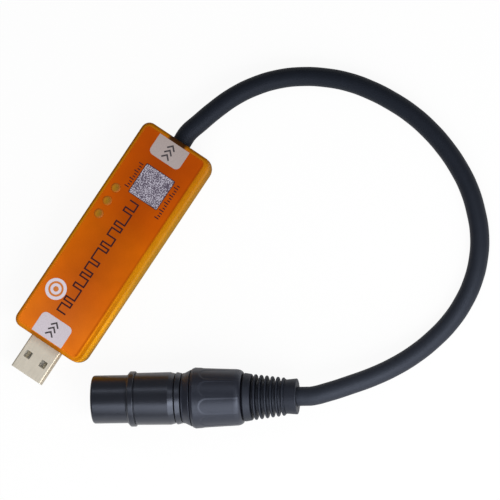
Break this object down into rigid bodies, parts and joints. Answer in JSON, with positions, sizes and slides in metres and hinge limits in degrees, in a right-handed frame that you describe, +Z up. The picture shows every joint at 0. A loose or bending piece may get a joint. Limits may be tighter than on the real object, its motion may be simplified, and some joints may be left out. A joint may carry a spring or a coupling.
{
  "type": "usb lighting control interface",
  "caption": "Flat pocket lighting interface: a translucent box housing with a USB plug at one end and a short cable ending in a round latching stage connector.",
  "frame": {"origin": "on the surface that the part lies on, under the middle of the housing with its plug", "axes": "+X from the plug's tip along the housing to the cable, +Z up out of the lid, +Y towards the edge with the lamps"},
  "size_m": [0.1507, 0.1281, 0.0208],
  "materials": {
    "lid_plastic": "moulded translucent polycarbonate, satin face",
    "tray_plastic": "moulded translucent polycarbonate, bright edges",
    "plug_steel": "satin nickel plate",
    "plug_tongue": "moulded",
    "contact_gold": "thin gold plate",
    "board": "solder mask",
    "chip": "moulded epoxy",
    "can_metal": "drawn can",
    "ceramic": "fired ceramic",
    "led_lens": "diffused epoxy",
    "tie_nylon": "moulded nylon",
    "cable_jacket": "extruded soft PVC, satin",
    "wire_white": "extruded PVC",
    "wire_red": "extruded PVC",
    "wire_black": "extruded PVC",
    "connector_metal": "black satin coat",
    "connector_plastic": "glass-filled nylon",
    "boot_rubber": "moulded elastomer",
    "spring_steel": "rolled strip"
  },
  "bodies": {
    "interface": {"top_shell": "lid_plastic", "bottom_shell": "tray_plastic", "usb_plug_shell": "plug_steel", "usb_plug_tongue": "plug_tongue", "usb_contact_1": "contact_gold", "usb_contact_2": "contact_gold", "usb_contact_3": "contact_gold", "usb_contact_4": "contact_gold", "circuit_board": "board", "processor": "chip", "usb_bridge_chip": "chip", "line_driver_chip": "chip", "voltage_regulator": "chip", "crystal": "can_metal", "radio_module": "board", "radio_shield": "can_metal", "can_capacitor": "can_metal", "chip_capacitor_1": "ceramic", "chip_capacitor_2": "ceramic", "led_resistor_1": "chip", "led_resistor_2": "chip", "led_resistor_3": "chip", "led_1": "led_lens", "led_2": "led_lens", "led_3": "led_lens", "cable_inner_end": "cable_jacket", "cable_tie": "tie_nylon", "board_wire_1": "wire_white", "board_wire_2": "wire_red", "board_wire_3": "wire_black", "dmx_cord": "cable_jacket", "connector_shell": "connector_metal", "retaining_ring": "connector_metal", "thread_sleeve": "connector_plastic", "connector_insert": "connector_plastic", "socket_contact_1": "contact_gold", "socket_contact_2": "contact_gold", "socket_contact_3": "contact_gold", "latch_spring": "spring_steel", "cable_chuck": "connector_plastic", "cable_boot": "boot_rubber", "connector_cable_end": "cable_jacket", "connector_wire_1": "wire_white", "connector_wire_2": "wire_red", "connector_wire_3": "wire_black"},
    "latch": {"latch_lever": "connector_plastic"},
    "nut": {"coupling_nut": "connector_plastic"}
  },
  "joints": [
    {"name": "latch_press", "type": "hinge", "parent": "interface", "child": "latch", "pos_m": [-0.0266, -0.04023, 0.00644], "axis": [0.5848, 0.3974, 0.7071], "range_deg": [0, 5], "stiffness_Nm_per_rad": 0.02, "deforming": ["latch_spring"]},
    {"name": "nut_turn", "type": "hinge", "parent": "interface", "child": "nut", "pos_m": [-0.01779, -0.06023, 0.0104], "axis": [0.5621, -0.8271, 0], "continuous": true}
  ]
}
